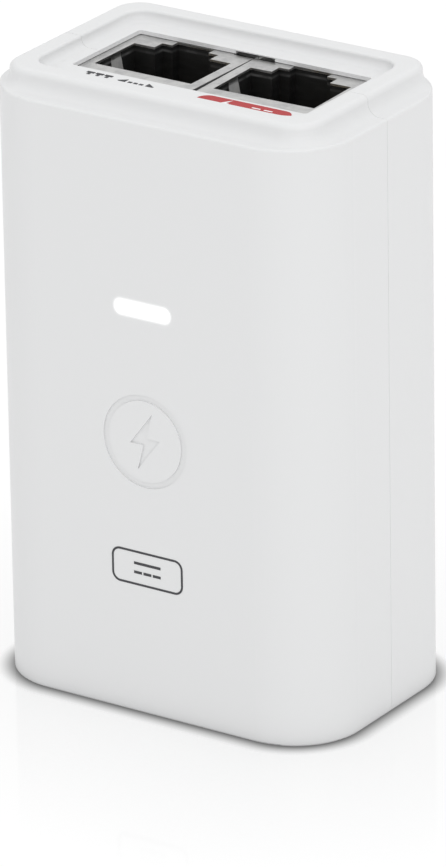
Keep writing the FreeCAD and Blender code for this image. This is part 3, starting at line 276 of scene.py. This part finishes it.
def board_green():
    """Solder mask over copper: tracks show as slightly raised, lighter runs."""
    g = Graph("board_green")
    runs = g.cells(320.0)
    track = g.ramp(runs, 0.02, 0.06, 1.0, 0.0)
    weave = g.noise(2600.0, 2.0, 0.5)
    g.set(Base_Color=g.mix(track, (0.012, 0.075, 0.03, 1.0), (0.03, 0.16, 0.06, 1.0)),
          Roughness=g.ramp(weave, 0.3, 0.7, 0.25, 0.4),
          Normal=g.bump(track, 0.02 * MM, 0.6, g.bump(weave, 0.004 * MM, 0.4)))
    return g.material


def copper_turns(name, axis):
    """Enamelled wire laid turn against turn along an axis."""
    g = Graph(name)
    along = g.split(g.place)[axis]
    turn = g.math("ABSOLUTE", g.math("SINE", g.math("MULTIPLY", along, math.pi / WIRE_PITCH)))
    tone = g.noise(700.0, 3.0, 0.6)
    g.set(Base_Color=g.mix(tone, (0.5, 0.17, 0.06, 1.0), (0.66, 0.27, 0.1, 1.0)), Metallic=0.85,
          Roughness=g.ramp(tone, 0.3, 0.7, 0.2, 0.34), Normal=g.bump(turn, 0.1 * MM, 0.8))
    return g.material


def clear_plastic():
    g = Graph("clear_acrylic")
    haze = g.noise(700.0, 3.0, 0.6)
    g.set(Base_Color=g.mix(haze, (0.93, 0.95, 0.96, 1.0), (0.97, 0.98, 0.98, 1.0)),
          Roughness=g.ramp(haze, 0.3, 0.7, 0.08, 0.18), Normal=g.bump(haze, 0.01 * MM, 0.3))
    g.set(Transmission_Weight=0.85, IOR=1.49)
    return g.material


def lamp_lens():
    g = Graph("lamp_lens")
    phosphor = g.noise(2500.0, 3.0, 0.6)
    g.set(Base_Color=g.mix(phosphor, (0.9, 0.86, 0.5, 1.0), (0.96, 0.94, 0.75, 1.0)),
          Roughness=g.ramp(phosphor, 0.3, 0.7, 0.2, 0.4), Normal=g.bump(phosphor, 0.01 * MM, 0.3))
    g.set(Emission_Color=(1.0, 1.0, 0.97, 1.0), Emission_Strength=2.0)
    return g.material


def ink(name, colour):
    """Pad-printed ink: even, very slightly broken up at the grain of the plastic."""
    g = Graph(name)
    speck = g.noise(6500.0, 3.0, 0.65)
    pale = tuple(min(1.0, channel * 1.2 + 0.015) for channel in colour)
    g.set(Base_Color=g.mix(g.ramp(speck, 0.55, 0.8), colour + (1.0,), pale + (1.0,)),
          Roughness=g.ramp(speck, 0.3, 0.7, 0.5, 0.65), Normal=g.bump(speck, 0.004 * MM, 0.5))
    g.set(Specular_IOR_Level=0.3)
    return g.material


def dress_frame():
    """Give every CAD node its finished material; what isn't named is black epoxy."""
    white = moulded_white("shell_plastic").material
    steel = plated_steel("plated_steel")
    black = moulded_black("moulded_black", highlight_level=PORT_Z - HIGHLIGHT_LINE_DEPTH)
    tin = plated_steel("tin_plate", 0.7, (0.3, 0.45))
    epoxy = speckled("epoxy_black", (0.015, 0.015, 0.017), (0.03, 0.03, 0.032), (0.4, 0.55))
    ferrite = speckled("ferrite", (0.02, 0.02, 0.022), (0.045, 0.045, 0.047), (0.5, 0.7), 1500.0)
    blue = speckled("dipped_blue", (0.02, 0.07, 0.28), (0.03, 0.1, 0.36), (0.15, 0.3), 400.0)
    can = speckled("drawn_can", (0.6, 0.61, 0.62), (0.7, 0.7, 0.71), (0.2, 0.34), 500.0, 1.0)
    finishes = {
        "front_shell": painted_glow_shell(), "rear_shell": white,
        "wall_bracket": moulded_white("bracket_plastic", BRACKET_TONE).material,
        "light_pipe": clear_plastic(), "status_leds": lamp_lens(), "main_pcb": board_green(),
        "insulation_sheet": speckled("insulation_film", (0.55, 0.52, 0.42), (0.6, 0.57, 0.47), (0.3, 0.5)),
        "lan_jack_shield": steel, "poe_jack_shield": steel,
        "lan_jack_body": black, "poe_jack_body": black,
        "lan_contacts": gold_plate(), "poe_contacts": gold_plate(),
        "lan_solder_pins": tin, "poe_solder_pins": tin, "ac_inlet_pins": tin,
        "ac_inlet": moulded_black("inlet_black", 0.012),
        "transformer_bobbin": moulded_black("bobbin_black", 0.015),
        "fuse": speckled("ceramic_tube", (0.62, 0.58, 0.48), (0.7, 0.66, 0.56), (0.2, 0.35)),
        "varistor": blue, "y_capacitor": blue,
        "x_capacitor": speckled("cast_yellow", (0.62, 0.42, 0.03), (0.7, 0.5, 0.05), (0.2, 0.34)),
        "choke_core": ferrite, "transformer_core": ferrite, "inductor_core": ferrite,
        "choke_windings": copper_turns("choke_copper", 0),
        "inductor_winding": copper_turns("inductor_copper", 1),
        "bulk_capacitor": can, "output_capacitor": can,
        "transformer_winding": speckled("tape_yellow", (0.62, 0.42, 0.06), (0.7, 0.5, 0.1), (0.2, 0.3)),
    }
    for name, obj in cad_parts.items():
        material = finishes.get(name, epoxy)
        obj.data.materials.clear()
        obj.data.materials.append(material)


# ---------------------------------------------------------------- mesh helpers

def mesh_piece(name, build, material, body="housing"):
    """A new piece: build fills its mesh."""
    bm = bmesh.new()
    build(bm)
    bmesh.ops.recalc_face_normals(bm, faces=bm.faces)
    mesh = bpy.data.meshes.new(name)
    bm.to_mesh(mesh)
    bm.free()
    mesh.materials.append(material)
    piece = bpy.data.objects.new(name, mesh)
    bpy.context.scene.collection.objects.link(piece)
    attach(piece, body)


def prism(bm, outline, place, rise):
    """A flat shape that stands out and sinks in by rise; place maps (u, v, height) into space."""
    top = [bm.verts.new(place(u, v, rise)) for u, v in outline]
    bottom = [bm.verts.new(place(u, v, -rise)) for u, v in outline]
    bm.faces.new(top)
    bm.faces.new(bottom[::-1])
    count = len(outline)
    for index in range(count):
        after = (index + 1) % count
        bm.faces.new((top[index], bottom[index], bottom[after], top[after]))


def ring_prism(bm, outer, inner, place, rise):
    """The band between two outlines with the same number of points, as thick as a prism."""
    loops = [[bm.verts.new(place(u, v, height)) for u, v in outline]
             for outline in (outer, inner) for height in (rise, -rise)]
    outer_top, outer_low, inner_top, inner_low = loops
    count = len(outer)
    for index in range(count):
        after = (index + 1) % count
        for first, second in ((outer_top, inner_top), (outer_low, inner_low),
                              (outer_top, outer_low), (inner_top, inner_low)):
            bm.faces.new((first[index], first[after], second[after], second[index]))


def rounded(width, height, radius, centre, steps=10):
    """Corners of a rounded rectangle, counter-clockwise."""
    points = []
    for quarter, (right, up) in enumerate(((1, -1), (1, 1), (-1, 1), (-1, -1))):
        cx = centre[0] + right * (width / 2 - radius)
        cy = centre[1] + up * (height / 2 - radius)
        for step in range(steps + 1):
            angle = (quarter - 1 + step / steps) * math.pi / 2
            points.append((cx + radius * math.cos(angle), cy + radius * math.sin(angle)))
    return points


def bar(u0, u1, v0, v1):
    """Corners of a rectangle, counter-clockwise."""
    return [(u0, v0), (u1, v0), (u1, v1), (u0, v1)]


def bars(bm, place, lefts, width, low, high, rise=INK_RISE):
    """Equal rectangles in a row, given by their left edges."""
    for left in lefts:
        prism(bm, bar(left, left + width, low, high), place, rise)


def on_front(u, v, height):
    """u millimetres across and v up the front face, height metres out of it."""
    return Vector((u * MM, FRONT_Y - height, v * MM))


def on_plate(u, v, height):
    """u millimetres across and v back on the plate round the sockets, height metres above it."""
    return Vector((u * MM, v * MM, PLATE_Z + height))


# ---------------------------------------------------------------- prints

# Millimetres, as on_front and on_plate take them
FRAME_CENTRE, FRAME_WIDTH, FRAME_HEIGHT, FRAME_CORNER, FRAME_LINE = (0, 16.85), 9.1, 4.0, 1.05, 0.24
PILL_CENTRE, PILL_WIDTH, PILL_HEIGHT, PILL_CORNER = (8.1, -7.0), 11.6, 2.75, 1.3
OVER_PILL = INK_RISE * 1.6  # metres: the white print lies on the red


def make_prints():
    """The marks printed on the front and beside the sockets: symbols only."""
    grey_ink = ink("ink_grey", (0.055, 0.055, 0.06))
    red_ink = ink("ink_red", (0.42, 0.042, 0.045))
    white_ink = ink("ink_white", (0.86, 0.86, 0.87))

    def frame_line(bm):
        outer = rounded(FRAME_WIDTH, FRAME_HEIGHT, FRAME_CORNER, FRAME_CENTRE)
        inner = rounded(FRAME_WIDTH - 2 * FRAME_LINE, FRAME_HEIGHT - 2 * FRAME_LINE,
                        FRAME_CORNER - FRAME_LINE, FRAME_CENTRE)
        ring_prism(bm, outer, inner, on_front, INK_RISE)
    mesh_piece("rating_frame", frame_line, grey_ink)

    def direct_current(bm):
        """A long line over three short ones."""
        bars(bm, on_front, (-1.7,), 3.4, 17.25, 17.55)
        bars(bm, on_front, (-1.7, -0.5, 0.7), 1.0, 16.2, 16.5)
    mesh_piece("rating_symbol", direct_current, grey_ink)

    def network_mark(bm):
        """Three boxes on stalks that share one line."""
        bars(bm, on_plate, (-12.1, -10.95, -9.8), 0.95, -6.43, -6.02)
        bars(bm, on_plate, (-11.8, -10.65, -9.5), 0.35, -7.02, -6.43)
        bars(bm, on_plate, (-12.1,), 3.25, -7.4, -7.02)
    mesh_piece("network_symbol", network_mark, grey_ink)

    def port_mark(bm):
        """Two arrowheads that point apart, with three dots between them."""
        prism(bm, [(-7.9, -6.75), (-6.9, -6.05), (-6.9, -7.45)], on_plate, INK_RISE)
        prism(bm, [(-3.3, -6.75), (-4.3, -7.45), (-4.3, -6.05)], on_plate, INK_RISE)
        bars(bm, on_plate, (-6.55, -5.85, -5.15), 0.45, -6.98, -6.52)
    mesh_piece("port_symbol", port_mark, grey_ink)

    def red_pill(bm):
        prism(bm, rounded(PILL_WIDTH, PILL_HEIGHT, PILL_CORNER, PILL_CENTRE), on_plate, INK_RISE)
    mesh_piece("power_pill", red_pill, red_ink)

    def power_mark(bm):
        """A bolt beside two pairs of short lines."""
        bolt = ((5.88, -6.85), (6.3, -6.85), (5.4, -8.1), (5.7, -7.1), (5.3, -7.1), (6.15, -5.85))
        prism(bm, bolt, on_plate, OVER_PILL)
        for low in (-6.72, -7.5):
            bars(bm, on_plate, (9.0, 10.5), 1.05, low, low + 0.22, OVER_PILL)
    mesh_piece("power_symbol", power_mark, white_ink)


# ---------------------------------------------------------------- studio

# The floor: its mirror at the casing's foot and how far out that fades to nothing
REFLECTION, REFLECTION_REACH = 0.28, 34.0 * MM
# The painted shadow, a dark line round the foot in the floor's colour, glow and gloss: from just under the
# casing to just outside it
PAINTED_SHADOW_UNDER, PAINTED_SHADOW_OUT, PAINTED_SHADOW_TONE = -0.8 * MM, 2.3 * MM, 0.15
# Its own light, at the foot and from that far out: painted shade dims it near the foot
FLOOR_GLOW, GLOW_SHADE_REACH = (0.862, 0.89), 60.0 * MM
FLOOR_HALF = 3.0            # metres, half of the sheet's side
FLOOR_GAP = 0.02 * MM       # below the casing's base, so the two faces never coincide

# The lights: metres and watts
DOME_STRENGTH = (0.6, 1.3)  # at the horizon and straight up
KEY_PLACE, KEY_SIZE, KEY_POWER = (0.45, -0.38, 0.35), 0.5, 0.65

# The camera: degrees, and what it looks at
CAMERA_AZIMUTH, CAMERA_ELEVATION, CAMERA_ROLL = 33.977, 22.299, 0.935
CAMERA_TARGET = Vector((0.214, 0.027, 27.597)) * MM
CAMERA_DISTANCE = 860.34 * MM
LENS, SENSOR = 332.5, 36.0  # millimetres


def make_floor():
    """A pale sheet with a painted shadow where the casing meets it and a painted dimming of its glow near
    the foot, whose reflection fades away from the foot.
    """
    g = Graph("studio_floor")
    x, y, _ = g.split(g.place)
    dx = g.beyond(x, BODY_HALF.x - CORNER)
    dy = g.beyond(y, BODY_HALF.y - CORNER)
    away = g.math("SUBTRACT", g.vector("LENGTH", g.join(dx, dy, 0.0)), CORNER)
    mirrored = g.ramp(away, 0.0, REFLECTION_REACH, REFLECTION, 0.0, smooth=False)
    # Painted shadow: the floor's colour, glow and gloss darken to a line round the casing's foot
    painted_shadow = g.ramp(away, PAINTED_SHADOW_UNDER, PAINTED_SHADOW_OUT, PAINTED_SHADOW_TONE, 1.0)
    # Painted shade: the floor's glow is dimmer at the foot and brightens outwards
    glow = g.ramp(away, 0.0, GLOW_SHADE_REACH, *FLOOR_GLOW, smooth=False)
    dust = g.noise(60.0, 3.0, 0.5)
    sheet = g.mix(dust, grey(0.118), grey(0.122))
    g.set(Base_Color=g.mix(painted_shadow, grey(0.0), sheet), Roughness=0.9, Specular_IOR_Level=0.0)
    g.set(Emission_Color=WHITE, Emission_Strength=g.math("MULTIPLY", painted_shadow, glow))
    gloss = g.nodes.new("ShaderNodeBsdfGlossy")
    gloss.inputs["Roughness"].default_value = 0.06
    g.put(gloss.inputs["Color"], g.mix(painted_shadow, grey(0.0), grey(1.0)))
    blend = g.nodes.new("ShaderNodeMixShader")
    g.put(blend.inputs[0], mirrored)
    g.links.new(g.shader.outputs[0], blend.inputs[1])
    g.links.new(gloss.outputs[0], blend.inputs[2])
    g.links.new(blend.outputs[0], g.output.inputs["Surface"])
    mesh = bpy.data.meshes.new("studio_floor")
    mesh.from_pydata([(u, v, 0.0) for u, v in bar(-FLOOR_HALF, FLOOR_HALF, -FLOOR_HALF, FLOOR_HALF)],
                     [], [(0, 1, 2, 3)])
    mesh.materials.append(g.material)
    floor = bpy.data.objects.new("studio_floor", mesh)
    bpy.context.scene.collection.objects.link(floor)
    floor.location.z = -FLOOR_GAP


def make_light(name, place, target, size, power):
    """A round lamp turned towards a target."""
    lamp = bpy.data.lights.new(name, "AREA")
    lamp.shape = "DISK"
    lamp.size = size
    lamp.energy = power
    obj = bpy.data.objects.new(name, lamp)
    bpy.context.scene.collection.objects.link(obj)
    obj.location = place
    obj.rotation_euler = (Vector(target) - Vector(place)).to_track_quat("-Z", "Y").to_euler()


def make_studio():
    """A dome that brightens upwards, one key lamp, and colours shown as they are."""
    world = bpy.data.worlds.new("studio")
    bpy.context.scene.world = world
    world.use_nodes = True
    nodes, links = world.node_tree.nodes, world.node_tree.links
    background = nodes["Background"]
    background.inputs["Color"].default_value = (0.995, 0.998, 1.0, 1.0)
    way = nodes.new("ShaderNodeTexCoord")
    split = nodes.new("ShaderNodeSeparateXYZ")
    links.new(way.outputs["Generated"], split.inputs[0])
    dome = nodes.new("ShaderNodeMapRange")
    for name, number in (("From Min", 0.0), ("From Max", 1.0), ("To Min", DOME_STRENGTH[0]),
                         ("To Max", DOME_STRENGTH[1])):
        dome.inputs[name].default_value = number
    links.new(split.outputs["Z"], dome.inputs["Value"])
    links.new(dome.outputs["Result"], background.inputs["Strength"])
    centre = (0.0, 0.0, TOP_Z / 2)
    make_light("key", KEY_PLACE, centre, KEY_SIZE, KEY_POWER)
    settings = bpy.context.scene.view_settings
    settings.view_transform = "Standard"
    settings.look = "None"
    settings.exposure = 0.0
    settings.gamma = 1.0


def make_camera():
    """A long lens from the front right, a little above, with a slight roll."""
    azimuth = math.radians(CAMERA_AZIMUTH)
    elevation = math.radians(CAMERA_ELEVATION)
    roll = math.radians(CAMERA_ROLL)
    back = Vector((math.sin(azimuth) * math.cos(elevation), -math.cos(azimuth) * math.cos(elevation),
                   math.sin(elevation)))
    right = Vector((math.cos(azimuth), math.sin(azimuth), 0.0))
    up = back.cross(right)
    turned_right = right * math.cos(roll) - up * math.sin(roll)
    turned_up = right * math.sin(roll) + up * math.cos(roll)
    lens = bpy.data.cameras.new("camera")
    lens.sensor_fit = "AUTO"
    lens.sensor_width = SENSOR
    lens.lens = LENS
    lens.clip_start = 0.05
    lens.clip_end = 20.0
    camera = bpy.data.objects.new("camera", lens)
    bpy.context.scene.collection.objects.link(camera)
    axes = Matrix((turned_right, turned_up, back)).transposed().to_4x4()
    camera.matrix_world = Matrix.Translation(CAMERA_TARGET + back * CAMERA_DISTANCE) @ axes
    bpy.context.scene.camera = camera


# ---------------------------------------------------------------- everything, in order

make_camera()
make_studio()
make_floor()
dress_frame()
make_prints()
